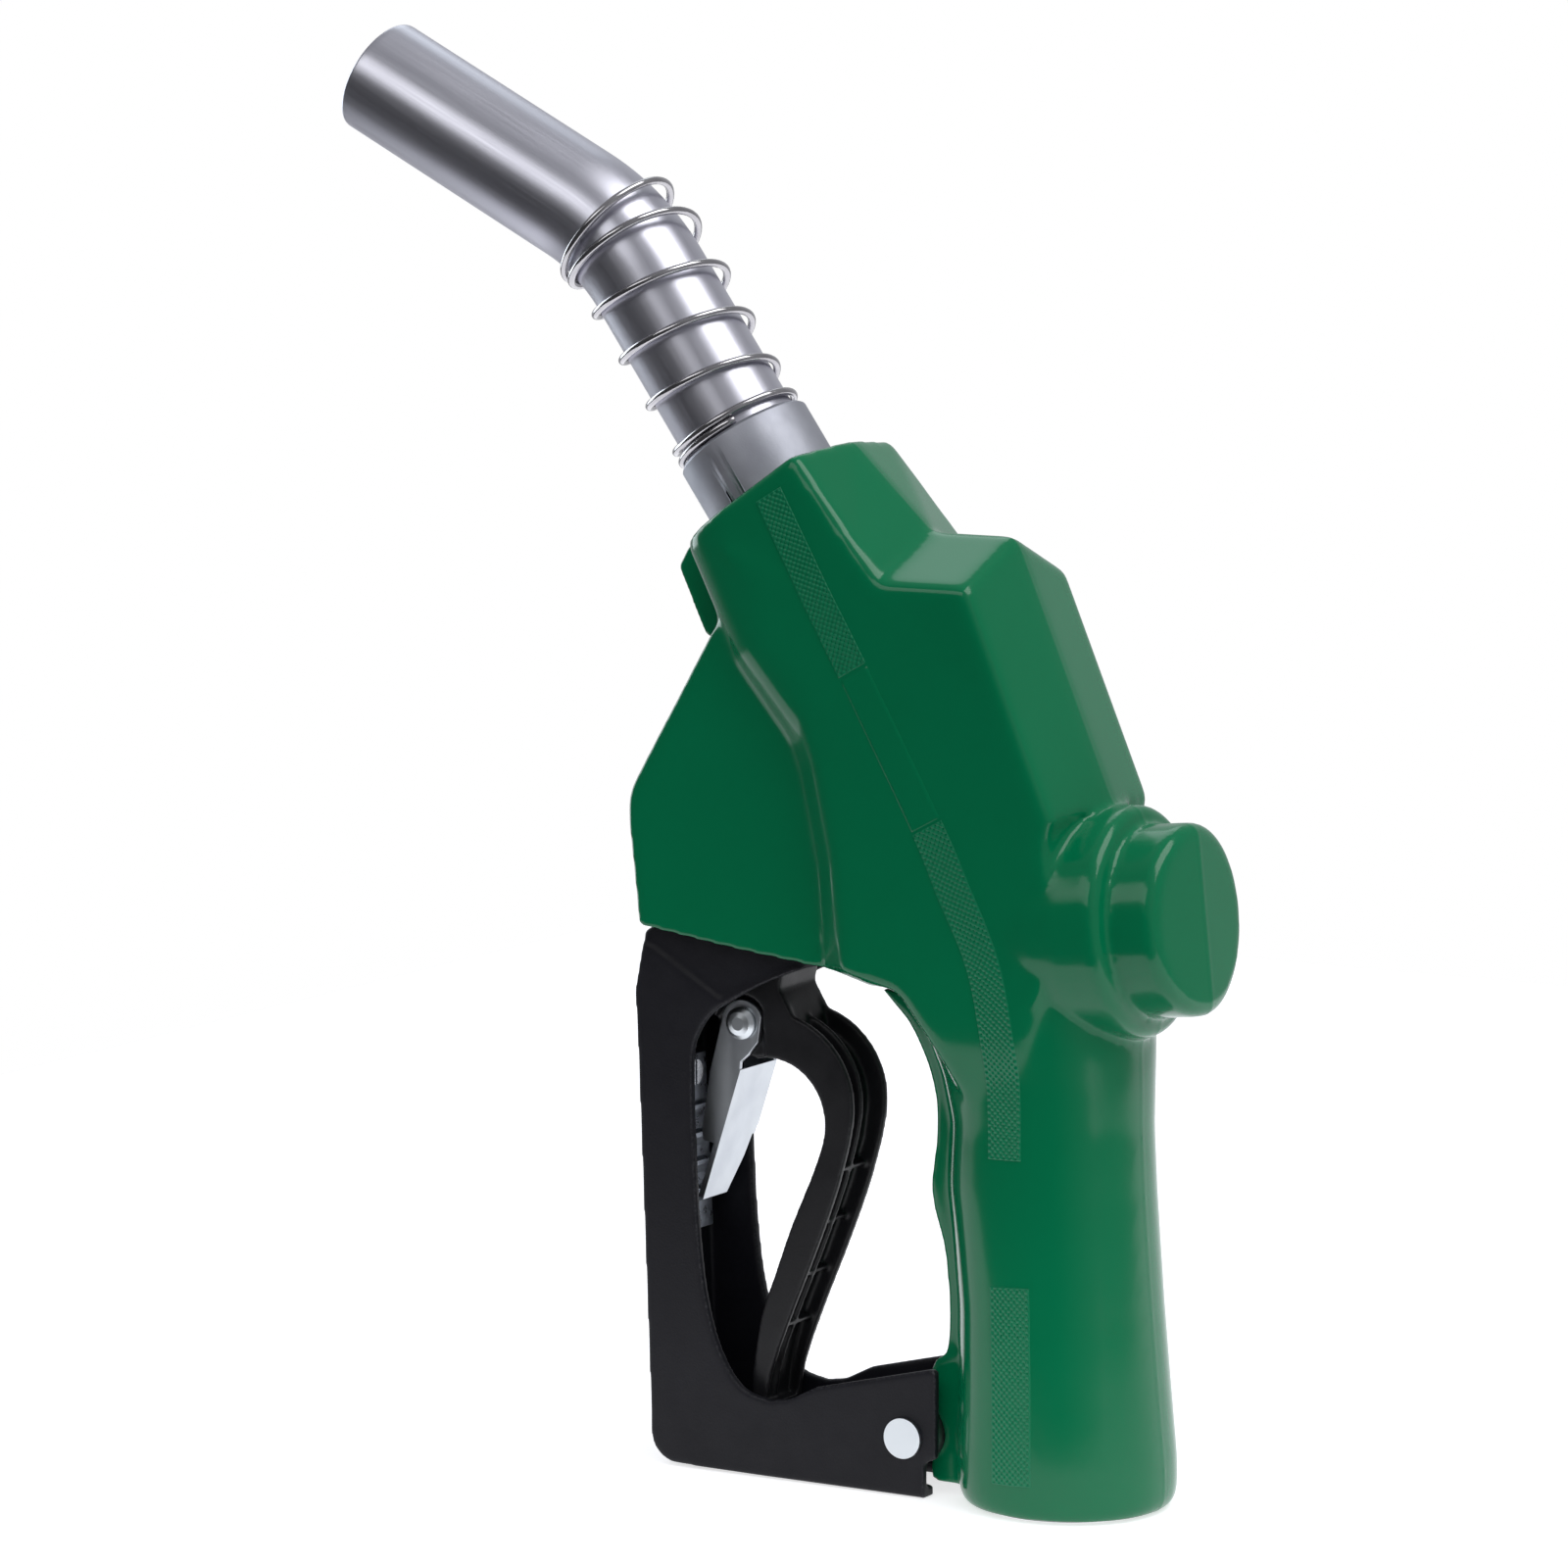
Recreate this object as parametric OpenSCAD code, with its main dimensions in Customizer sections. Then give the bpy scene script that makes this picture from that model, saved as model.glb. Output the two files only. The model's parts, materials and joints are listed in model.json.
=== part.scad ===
// High-flow automatic shut-off fuel nozzle, standing on its inlet end.
// Millimetres. Z runs up the grip, the spout and the guard lean towards -X, the valve cap
// looks towards +X, and the whole nozzle is symmetrical about the plane y = 0.
// Origin: centre of the inlet thread, in the plane of the inlet face.

/* [Spout] */
// Outside diameter of the spout tube
spout_d = 30.2; // [29:0.1:31]
// Wall of the spout tube
spout_wall = 1.6; // [1.2:0.1:2]
// Lean of the lower part of the spout from the vertical, in degrees
spout_lean = 35; // [34:0.5:36]
// Further lean of the upper part, in degrees
spout_bend = 27.4; // [25:0.2:29]
// Radius of the bend on the tube's centre line
spout_bend_r = 60; // [55:1:70]
// Straight length above the bend
spout_tip_len = 68; // [55:1:80]
// Outside diameter of the cast collar that holds the spout
collar_d = 35.6; // [35:0.1:36.4]

/* [Anchor spring] */
// Wire of the spring that grips a tank's filler neck
anchor_wire = 2; // [1.6:0.1:2.2]
// Open turns of that spring
anchor_turns = 4.2; // [3:0.1:5]

/* [Inlet] */
// Minor diameter of the inlet thread, G1
inlet_bore_d = 30.29; // [29:0.01:31]
// Depth of the inlet thread
inlet_depth = 22; // [18:1:24]

/* [Guard and lever] */
// Outside width of the hand guard
guard_w = 31; // [30.6:0.1:31.4]
// Plate of the hand guard
guard_plate = 2.6; // [2.2:0.1:2.7]
// Width of the lever
lever_w = 19; // [17:0.5:19]
// Head diameter of the guard's pivot pin
pivot_head_d = 10.3; // [9:0.1:12]

/* [Valve] */
// Stem diameter of the main valve
stem_d = 7; // [6:0.1:7.2]
// Gap between the lever's pad and the stem at rest
stem_gap = 0.3; // [0.2:0.05:0.5]
// Tilt of the main valve's axis above the horizontal, in degrees
valve_tilt = 6; // [5.5:0.5:6.5]
// Radial running clearance of every pin and plunger
running = 0.05; // [0.03:0.01:0.08]

/* [Hidden] */
$fn = 48;
eps = 0.01;
overlap = 0.4;
// The bent stretch of a tube is this much fuller, so that the straight ends meet it cleanly
bend_swell = 0.06;

// Main axes: where each one starts, and how far it leans from +Z about Y
spout_root = [-72.4, 0, 231.6];
fulcrum = [-103, 0, 162];
trip_lean = 67;
valve_centre = [0, 0, 146.3];
guard_pin_at = [-38.5, 0, 15];
latch_at = [-89.3, 0, 115.2];

// Distances up the spout's axis from its root
collar_top = 38.4;
bend_at = 100;
bend_tangent = spout_bend_r * tan(spout_bend / 2);
spout_r = spout_d / 2;
spout_bore_r = spout_r - spout_wall;

// Half widths of the cover's three bodies
neck_half = 25;
body_half = 26.5;
wing_half = 19.5;
wing_inside = 17.6;
cover_gap = 0.2;

guard_inside = guard_w / 2 - guard_plate;
stem_r = stem_d / 2;
check_seat_z = -28;
check_stem_r = 2.5;
lever_pad_z = -78;
latch_half = 9.3;
latch_sheet = 1.4;

// Distances along the main valve's axis
seat_z = -18;
chamber_r = 23.3;
chamber_bore_r = 19;
chamber_end = 14;

// Distances along the trip axis
sleeve_start = 14;
bowl_floor = 82;
bowl_rim = 92;
bowl_r = 23.2;
trip_r = 5;

// ---------------------------------------------------------------- helpers

// Points of an arc in the x-z plane
function arc(cx, cz, r, from, to, steps) = [
    for (i = [0:steps])
        let (a = from + (to - from) * i / steps) [cx + r * cos(a), cz + r * sin(a)]
];

// One point of a smooth curve through p1 and p2
function blend_point(p0, p1, p2, p3, t) =
    0.5 * (2 * p1 + (p2 - p0) * t + (2 * p0 - 5 * p1 + 4 * p2 - p3) * t * t
        + (3 * p1 - p0 - 3 * p2 + p3) * t * t * t);

// A smooth curve through a list of points
function smooth(p, steps) = let (last = len(p) - 1) concat(
    [for (i = [0:last - 1]) for (k = [0:steps - 1])
        blend_point(p[max(i - 1, 0)], p[i], p[i + 1], p[min(i + 2, last)], k / steps)],
    [p[last]]
);

// Puts children on an axis that starts at a point and leans from +Z towards +X
module on_axis(at, lean) translate(at) rotate([0, lean, 0]) children();
module on_spout() on_axis(spout_root, -spout_lean) children();
module on_valve() on_axis(valve_centre, 90 - valve_tilt) children();
module on_trip() on_axis(fulcrum, trip_lean) children();

// A cylinder between two heights
module rod(r, from, to) translate([0, 0, from]) cylinder(r = r, h = to - from);

// A cylinder across the nozzle, centred on y = 0
module cross_rod(r, width) rotate([90, 0, 0]) cylinder(r = r, h = width, center = true);

// A plate drawn in x-z and extruded across the nozzle, between two distances from y = 0
module slab(points, half) rotate([90, 0, 0]) linear_extrude(2 * half, center = true) polygon(points);

// Skin over rings of points that all have the same count, closed at both ends
module skin(rings) {
    n = len(rings[0]);
    last = len(rings) - 1;
    points = [for (ring = rings) each ring];
    sides = [for (i = [0:last - 1]) for (k = [0:n - 1])
        [i * n + k, (i + 1) * n + k, (i + 1) * n + (k + 1) % n, i * n + (k + 1) % n]];
    polyhedron(concat(
        points
    ), concat(sides, [[for (k = [0:n - 1]) k]], [[for (k = [n - 1:-1:0]) last * n + k]]),
        convexity = 6);
}

// Wire wound on a round axis: each turn's height and radius come from functions of the angle
function wire_ring(r, z, angle, slope, wire_r, sides) = [
    for (k = [0:sides - 1])
        let (
            a = 360 * k / sides,
            out = wire_r * cos(a),
            up = wire_r * sin(a)
        )
        [
            (r + out) * cos(angle) + up * sin(slope) * sin(angle),
            (r + out) * sin(angle) - up * sin(slope) * cos(angle),
            z + up * cos(slope)
        ]
];

// A compression spring along +Z with closed ends
module coil(r, wire_r, from, to, turns, steps = 16, sides = 6, closed = 1) {
    pitch_open = (to - from - 2 * wire_r - 2 * closed * 2.1 * wire_r) / (turns - 2 * closed);
    pitch_closed = 2.1 * wire_r;
    function rise(t) = let (
            first = min(t, closed),
            middle = min(max(t - closed, 0), turns - 2 * closed),
            end = max(t - turns + closed, 0)
        ) (first + end) * pitch_closed + middle * pitch_open;
    skin([for (i = [0:turns * steps])
        let (t = i / steps, climb = rise(min(t + 0.05, turns)) - rise(max(t - 0.05, 0)))
        wire_ring(r, from + wire_r + rise(t), -360 * t, -atan(climb / (0.2 * PI * r)), wire_r, sides)]);
}

// ---------------------------------------------------------------- spout

// A solid that follows the spout's centre line from one height up to a distance from the tip
module spout_path(r, from, tip_cut) {
    rod(r, from, bend_at - bend_tangent + overlap);
    translate([0, 0, bend_at - bend_tangent]) {
        translate([-spout_bend_r, 0, 0]) rotate([90, 0, 0])
            rotate_extrude(angle = spout_bend) translate([spout_bend_r, 0]) circle(r = r + bend_swell);
        translate([-spout_bend_r, 0, 0]) rotate([0, -spout_bend, 0]) translate([spout_bend_r, 0, 0])
            rod(r, -overlap, spout_tip_len - tip_cut);
    }
}

// Puts children at the spout's tip, with +Z pointing out of it
module at_tip() on_spout() translate([-spout_bend_r, 0, bend_at - bend_tangent])
    rotate([0, -spout_bend, 0]) translate([spout_bend_r, 0, spout_tip_len]) children();

module spout_tube() color("silver") difference() {
    on_spout() spout_path(spout_r, 6, 0);
    on_spout() spout_path(spout_bore_r, 5, -1);
    // rounded-in mouth and the vent port on the underside
    at_tip() rod(spout_bore_r + 0.5, -1.2, 1);
    at_tip() translate([-spout_r, 0, -14]) rotate([0, 90, 0]) cylinder(r = 2, h = 4, center = true);
    // hole for the screw that holds the tube in the collar
    on_spout() translate([0, -spout_r, 14]) rotate([90, 0, 0]) cylinder(r = 2, h = 6, center = true);
}

module spout_collar() color("darkgray") on_spout() difference() {
    union() {
        rod(collar_d / 2, 1, collar_top);
        rod(16, -9, 1);
    }
    rod(spout_r + 0.02, 6, collar_top + 1);
    rod(12.2, -10, 7);
    translate([0, 0, -5]) rotate_extrude() translate([15.1, 0]) circle(r = 1);
    translate([0, -collar_d / 2, 14]) rotate([90, 0, 0]) cylinder(r = 2, h = 8, center = true);
    // soft outer edge at the top
    translate([0, 0, collar_top]) rotate_extrude() polygon([
        [collar_d / 2 - 0.9, 1], [collar_d / 2 - 0.9, 0], [collar_d / 2 + eps, -0.9],
        [collar_d / 2 + 1, -0.9], [collar_d / 2 + 1, 1]
    ]);
}

module collar_o_ring() color("black") on_spout() translate([0, 0, -5])
    rotate_extrude() translate([15.1, 0]) circle(r = 0.9);

module spout_screw() color("gray") on_spout() translate([0, -collar_d / 2 + 0.2, 14])
    rotate([-90, 0, 0]) difference() {
        rod(1.95, 0, 3.6);
        translate([0, 0, -1]) cylinder(r = 1.1, h = 2.2, $fn = 6);
    }

// The anchor spring follows the tube's own centre line, and stands off it near the bend
anchor_r = spout_r + anchor_wire / 2 + 0.35;
anchor_low = collar_top + 0.2 + anchor_wire / 2;
anchor_closed = 1.15;
anchor_steps = 26;
anchor_total = anchor_turns + 2 * anchor_closed;
anchor_rise = bend_at - collar_top + 1;
anchor_close_pitch = 2.15 * anchor_wire / 2;
function anchor_height(t) = let (
        open = (anchor_rise - 2 * anchor_closed * anchor_close_pitch) / anchor_turns,
        first = min(t, anchor_closed),
        middle = min(max(t - anchor_closed, 0), anchor_turns),
        end = max(t - anchor_turns - anchor_closed, 0)
    ) anchor_low + (first + end) * anchor_close_pitch + middle * open;

// Angle that the centre line has turned through at a height, and the point that it has reached
function bent_by(h) = max(0, h - bend_at + bend_tangent) / spout_bend_r * 180 / PI;
function bent_point(h) = let (b = bent_by(h), low = min(h, bend_at - bend_tangent))
    [-spout_bend_r * (1 - cos(b)), 0, low + spout_bend_r * sin(b)];
function stand_off(h) = 0.9 * min(max((h - collar_top - 8) / 40, 0), 1);

module anchor_spring() color("lightgray") on_spout() skin([for (i = [0:anchor_total * anchor_steps])
    let (
        t = i / anchor_steps,
        h = anchor_height(t),
        b = bent_by(h),
        centre = bent_point(h),
        lift = stand_off(h),
        ring = wire_ring(anchor_r + lift, 0, -360 * t - 60, 0, anchor_wire / 2, 8)
    )
    [for (p = ring) let (x = p[0] + lift)
        [centre[0] + x * cos(b) - p[2] * sin(b), p[1], centre[2] + x * sin(b) + p[2] * cos(b)]]]);

// The vent tube runs beside the middle of the bore, so that it bends with the spout
module vent_tube() color("gainsboro") on_spout() translate([0, 9, 0]) difference() {
    spout_path(2, 8, 12);
    rod(1.2, 7, 40);
}

// ---------------------------------------------------------------- check valve in the outlet

module check_cage() color("gainsboro") on_spout() difference() {
    rod(15.6, -12.4, -9.2);
    for (a = [45:90:315]) rotate(a) translate([9.5, 0, -13]) cylinder(r = 4, h = 6);
    rod(check_stem_r + running, -13, -9);
}

module check_poppet() color("gainsboro") on_spout() {
    rod(14.2, check_seat_z + 1.2, check_seat_z + 3.6);
    rod(check_stem_r, check_seat_z + 3.6, -8);
}

module check_seal() color("black") on_spout() difference() {
    rod(13.9, check_seat_z + 0.05, check_seat_z + 1.2);
    rod(6, check_seat_z - 1, check_seat_z + 2);
}

module check_spring() color("lightgray") on_spout()
    coil(5, 0.6, check_seat_z + 3.7, -12.5, 5, 14, 6);

// ---------------------------------------------------------------- casting

// The underside of the casting, which the cover wraps: everything below this line is cut away
belly = [[-60, 135.6], [-41, 134.4], [-34.3, 131.6], [-29.5, 126], [-25.2, 119.5], [-25.2, 100],
    [-60, 100]];

// The casting's outer skin, grown by a clearance for the cover's cavity
module casting_skin(grow = 0) {
    rod(22.2 + grow, 0, 27);
    rod(17.8 + grow, 26, 142);
    difference() {
        union() {
            on_valve() rod(chamber_r + grow, -44, chamber_end);
            on_spout() rod(20.2 + grow, -76, 1);
        }
        translate([0, 0, -grow]) slab(belly, 40);
    }
    on_trip() rod(9 + grow, sleeve_start, bowl_floor);
    on_trip() rod(bowl_r + grow, bowl_floor - 4, bowl_rim);
}

module casting_ears(grow = 0) for (side = [-1, 1]) translate([0, side * 11.4, 0])
    slab([[-92, 153], [-92, 145], [-84, 141], [-60, 141], [-46, 146], [-46, 172], [-70, 178], [-82, 165]],
        1.1 + grow);

// Wall that stiffens the corner between the trip sleeve and the outlet
module casting_web(grow = 0) slab([[-84, 178], [-80, 163], [-50, 150], [-40, 190], [-62, 214]], 4 + grow);

// Lug for the guard's pivot pin: a narrow neck with a boss across it
module pivot_lug(grow = 0) {
    slab([[-39, 7.5 - grow], [-39, 22.5 + grow], [-18, 22.5 + grow], [-18, 7.5 - grow]], 6 + grow);
    translate(guard_pin_at) cross_rod(7 + grow, 2 * (guard_inside - 0.3));
}

module body_casting() color("darkgray") difference() {
    union() {
        casting_skin();
        casting_ears();
        casting_web();
        pivot_lug();
    }
    // inlet thread and the passage up the grip
    rod(inlet_bore_d / 2, -1, inlet_depth);
    rod(14.2, inlet_depth - eps, 146);
    on_valve() {
        rod(chamber_bore_r, seat_z, chamber_end + 1);
        rod(11.5, seat_z - 5, seat_z + 1);
        rod(stem_r + 0.4, -50, -30);
        rod(6, -46, -40.5);
        rod(21, 2, chamber_end + 1);
        rod(30, chamber_end, chamber_end + 20);
    }
    // front chamber, with its floor kept above the casting's underside
    intersection() {
        on_valve() rod(16, -37, seat_z - 4);
        slab([[-60, 139.6], [-41, 138.4], [-33, 135.4], [-27, 129.4], [-22, 122], [0, 122], [0, 200],
            [-60, 200]],
            30);
    }
    // outlet passage and the seat of the check valve
    on_spout() {
        rod(12.6, -62, check_seat_z + 1);
        rod(15.7, check_seat_z, -8);
        rod(16.1, -9.2, 2);
    }
    // trip plunger's bore and the diaphragm bowl
    on_trip() {
        rod(trip_r + running, sleeve_start - 1, bowl_floor + 1);
        rod(7.4, 62, bowl_floor + 1);
        rod(19, bowl_floor, bowl_rim + 1);
        for (a = [45:90:315]) rotate(a) translate([20.8, 0, bowl_rim - 7]) cylinder(r = 1.5, h = 8);
    }
    // guard pivot and guard screws
    translate(guard_pin_at) cross_rod(4 + running, 40);
    translate([-84, 0, 149]) cross_rod(1.8, 40);
}

// ---------------------------------------------------------------- scuff cover

// Sizes of the cover's grip by height: [z, front, back, half width, centre, squareness]
grip_table = [
    [0, -24.4, 24.6, 24, 0, 2.1], [1.2, -26.3, 26.4, 25.6, 0, 2.1], [4, -27.2, 27.2, 26.4, 0, 2.1],
    [12, -27.4, 27, 26.3, -0.4, 2.15], [30, -27, 25.2, 25, -1, 2.2], [50, -27, 23.3, 24, -2, 2.25],
    [66, -28.5, 22, 23.4, -3, 2.3], [80, -30.5, 21, 23, -3.6, 2.3], [96, -29.5, 20.2, 22.7, -4, 2.3],
    [108, -32, 20.1, 23.2, -5, 2.4], [118, -36, 19.8, 24.6, -7, 2.5], [128, -39, 17.4, 25.6, -9, 2.7],
    [142, -42, 13, 26.3, -10, 3.2], [160, -42, 6, 26.4, -12, 4.5], [177, -42, 5, 26.4, -14, 6]
];
grip_sides = 40;
function grip_ring(row) = [for (k = [0:grip_sides - 1])
    let (
        a = 360 * k / grip_sides,
        power = 2 / row[5],
        c = cos(a),
        s = sin(a),
        reach = c > 0 ? row[2] - row[4] : row[4] - row[1]
    )
    [row[4] + reach * sign(c) * pow(abs(c), power), row[3] * sign(s) * pow(abs(s), power), row[0]]];

// Front edge of the finger grooves, from the foot up to the underside of the wing
groove_front = smooth([
    [-27, 34], [-31, 36.5], [-30.9, 46], [-32.4, 62], [-35.6, 73], [-36.1, 80], [-34.8, 90],
    [-34.7, 98], [-37, 108], [-42.5, 118.5], [-50, 127]
], 4);

// The crease where the thick body steps down to the thin wing: its upper and lower edge
crease_body = [[-91, 244.6], [-84.5, 237.4], [-76.5, 228], [-66.6, 209], [-58.2, 185.2], [-53, 161],
    [-50, 134.2]];
crease_wing = [[-97, 239], [-96, 236.5], [-86.6, 220.7], [-75.7, 205.3], [-66.6, 181.2],
    [-61.8, 159.3], [-59.6, 133.4]];

// How far the crease's hulls reach back into the body
crease_in = [14, -4];

// Outline of the body block, behind the crease
body_outline = concat(crease_body, [
    [-41.3, 132.2], [-30, 131.6], [4.9, 137], [5.9, 150], [6.1, 165], [7, 174], [11.5, 176.6], [-16, 242],
    [-41.7, 242], [-67, 263]
]);
wing_outline = [
    [-87, 222], [-93, 215.4], [-99.6, 203.9], [-113, 181], [-116.6, 174.6], [-117.6, 170.5],
        [-117.4, 166],
    [-115.6, 150.4], [-114.4, 139.7], [-100, 137.7], [-83, 135.3], [-60, 132.8], [-50, 132.4], [-50, 200]
];
// The hollow that the guard, lever and plunger work in
wing_hollow = [
    [-88, 199], [-97, 201], [-110.5, 180], [-115.2, 170.5], [-115, 166], [-113.2, 150.4], [-112, 139],
    [-112, 128], [-47, 128], [-47, 151], [-56, 172], [-66, 190]
];
// The roof-shaped back of the hood: sides drop away from a ridge
hood_side_w = 75.7;
hood_ridge_w = 79.8;
// Rounded front of the neck and its roof-shaped back, as a section across the spout's axis.
// The neck grows a little wider on its way down, until its sides are flush with the body
neck_low = -60;
neck_top = 21;
neck_flush = -12;
function neck_section(h) =
    let (
        down = neck_top - h,
        // fullest where the neck meets the body, and back to nothing inside the body
        front = h < neck_flush ? 0 : 0.13 * down,
        side = 22.8 + 0.085 * down,
        ridge = 26.4 + 0.2 * down,
        half = neck_half + 1.7 * min(1, down / (neck_top - neck_flush)),
        wide = half / neck_half
    )
    concat(
        [[side, -half], [ridge, 0], [side, half]],
        [for (p = smooth([[-5, neck_half], [-13, 23.2], [-19.6, 17.4], [-22.8, 8.5], [-23.4, 0],
            [-22.8, -8.5],
            [-19.6, -17.4], [-13, -23.2], [-5, -neck_half]], 3)) [p[0] - front, p[1] * wide]]
    );
module neck_prism() on_spout() skin([for (h = [neck_low, neck_flush, neck_top])
    [for (p = neck_section(h)) [p[0], p[1], h]]]);

module neck() intersection() {
    neck_prism();
    // soft front edge at the top, where the neck closes on the collar
    on_spout() translate([4, 0, neck_low]) rotate_extrude($fn = 64) polygon([
        [0, -1], [60, -1], [60, 60], [38, 70], [32, neck_top - neck_low], [0, neck_top - neck_low + 0.5]
    ]);
}

// Everything under the roof of the hood and under the slope of its step
module under_roof() {
    rotate([0, 90 - 23, 0]) linear_extrude(hood_side_w) square([600, 120], center = true);
    rotate([0, 90 - 23, 0]) rotate([0, 90, 0]) translate([0, 0, -300]) linear_extrude(600)
        polygon([[-hood_side_w + 1, -body_half], [-hood_side_w, -body_half], [-hood_ridge_w, 0],
            [-hood_side_w, body_half], [-hood_side_w + 1, body_half]]);
}
module under_step() translate([-150, 0, 0]) rotate([90, 0, 90]) linear_extrude(300)
    polygon([[-60, 0], [60, 0], [60, 217], [body_half, 231], [0, 242], [-body_half, 231], [-60, 217]]);

module body_block() intersection() {
    slab(body_outline, body_half);
    under_roof();
    union() {
        under_step();
        neck_prism();
    }
}

// One stretch of the crease, from the body's face down to the wing's face
module crease_stretch(i) hull() {
    slab([crease_body[i], crease_body[i + 1],
        crease_body[i + 1] + crease_in, crease_body[i] + crease_in], body_half);
    slab([crease_wing[i], crease_wing[i + 1],
        crease_wing[i + 1] + crease_in, crease_wing[i] + crease_in], wing_half);
}

// Boot over the valve cap, turned about the valve's axis: [radius, distance along it]
module cap_boot() on_valve() rotate_extrude($fn = 96) polygon(concat(
    [[0, -20], [25, -16], [28, 2], [28.8, 9]],
    arc(25.7, 19.2, 3.2, 0, 90, 5),
    [[24.4, 22.4], [23.9, 23]],
    arc(20.6, 34.1, 3.3, 0, 90, 6),
    [[0, 37.4]]
));

// The body below the hood, closing in on the grip: a flat side, an edge, and a facet to the middle.
// Each row is [z, half width, x of the front, x of the edge, x of the back]
back_table = [
    [98, 20, -14, -10, 18.8], [108, 23, -21, -5, 19.4], [118.4, 25.3, -27.4, 0, 20],
        [124.2, 26, -31.6, 2, 20.2],
    [129.5, 26.3, -35.7, 3.6, 20], [132, 26.4, -41, 4.3, 19.8], [136, 26.4, -43, 5.2, 19.4],
    [150, 26.4, -43, 6, 18.8], [165, 26.4, -43, 6.2, 15.6], [175, 26.4, -43, 6.4, 9.6]
];
function back_ring(row) =
    let (half = row[1], edge = row[3], back = row[4], facet = [[0.62, 0.56], [0.92, 0.24], [1, 0]])
    concat(
        [[row[2], -half, row[0]], [edge, -half, row[0]]],
        [for (f = facet) [edge + f[0] * (back - edge), -f[1] * half, row[0]]],
        [for (k = [1, 0]) [edge + facet[k][0] * (back - edge), facet[k][1] * half, row[0]]],
        [[edge, half, row[0]], [row[2], half, row[0]]]
    );

module cover_solid() {
    neck();
    body_block();
    for (i = [1:len(crease_body) - 2]) crease_stretch(i);
    slab(wing_outline, wing_half);
    skin([for (row = grip_table) grip_ring(row)]);
    skin([for (row = back_table) back_ring(row)]);
    slab(concat(groove_front, [[-10, 127], [-10, 34]]), 7.5);
    slab([[-35, 4], [-35.2, 31], [-33.5, 34.5], [-28, 37], [-10, 37], [-10, 3], [-33, 3]], 8.4);
    cap_boot();
    // hang-up rib behind the wing
    slab([[-80, 246], [-104, 238.5], [-109.5, 234.5], [-112.2, 229.5], [-104.3, 212.5], [-84, 205]], 2.4);
}

module scuff_cover() color("seagreen") difference() {
    cover_solid();
    casting_skin(cover_gap);
    casting_ears(cover_gap);
    casting_web(cover_gap);
    pivot_lug(cover_gap);
    slab(wing_hollow, wing_inside);
    on_spout() rod(collar_d / 2 + cover_gap, 0, 60);
    on_trip() rod(bowl_r + cover_gap, bowl_rim - 1, bowl_rim + 12.5);
    on_valve() {
        rod(25.8, chamber_end - 0.2, 17.8);
        rod(17.4, 17.7, 33.2);
        // room for the packing nut
        rod(7.2, -60, -43);
    }
    // open under the foot, and round the ends of the guard
    slab([[-48, -1], [-48, 7.6], [-16, 7.6], [-16, -1]], 6 + cover_gap);
    for (side = [-1, 1]) translate([0, side * 13.6, 0])
        slab([[-48, -1], [-48, 36], [-28.5, 36], [-28.5, -1]], 4.4);
}

// ---------------------------------------------------------------- guard

guard_outline = concat(
    [[-112, 153], [-112, 139.4], [-115, 137.4], [-115.2, 133.8], [-117.4, 122.2]],
    [[-116.7, 110], [-112.9, 13]],
    arc(-104.9, 8.6, 8, 178, 264, 8),
    [[-80, 0.2], [-33, 0], [-33, 9], [-29.5, 10.4], [-29.5, 32.8], [-31, 33.2], [-64.4, 24.9], [-72, 21]],
    smooth([[-77.5, 20.1], [-86, 22.5], [-92.5, 31.5], [-96.6, 45], [-98.8, 62], [-99.8, 80],
        [-100.5, 96],
        [-100.4, 106.5], [-98.8, 112.3], [-94.8, 117.9], [-89.6, 121.2], [-80.4, 126.4], [-68.1, 131.4],
        [-56, 134]], 3),
    [[-54, 138], [-66, 153]]
);
guard_channel = concat(
    [[-130, 170], [-130, 139.6], [-109.4, 139.6]],
    [[-112.4, 133.8], [-114.8, 122], [-114.1, 110], [-110.3, 13]],
    arc(-104.9, 8.6, 5.4, 178, 264, 8),
    [[-80, 2.9], [-20, 2.7], [-20, 170]]
);

module hand_guard() color("#222226") difference() {
    slab(guard_outline, guard_w / 2);
    slab(guard_channel, guard_inside);
    // room for the pivot lug between the plates
    slab([[-50, -1], [-50, 30], [-20, 30], [-20, -1]], 9.6);
    translate(guard_pin_at) cross_rod(4 + running, 60);
    translate([-84, 0, 149]) cross_rod(2, 60);
    translate([-113, 0, 99.5]) rotate([0, 90, 0]) cylinder(r = 1.6, h = 12, center = true);
    // the plates are set in where they go up under the cover
    for (side = [-1, 1]) translate([0, side * (guard_w / 2), 0])
        slab([[-125, 160], [-125, 137], [-112, 133.6], [-92, 121.7], [-72, 131], [-40, 134],
            [-40, 160]], 0.8);
}

module guard_pivot_pin() color("#c8d6e0") translate(guard_pin_at) {
    cross_rod(4, guard_w + 0.4);
    for (side = [-1, 1]) translate([0, side * (guard_w / 2 + 0.6), 0]) cross_rod(pivot_head_d / 2, 1.1);
}

module guard_screws() color("gray") for (side = [-1, 1])
    translate([-84, 0, 149]) rotate([side * 90, 0, 0]) {
        rod(1.75, 10.8, guard_w / 2 - 0.8);
        difference() {
            rod(3.4, guard_w / 2 - 0.8, guard_w / 2 + 1.2);
            translate([0, 0, guard_w / 2 + 0.3]) cylinder(r = 1.7, h = 3, $fn = 6);
        }
    }

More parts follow.
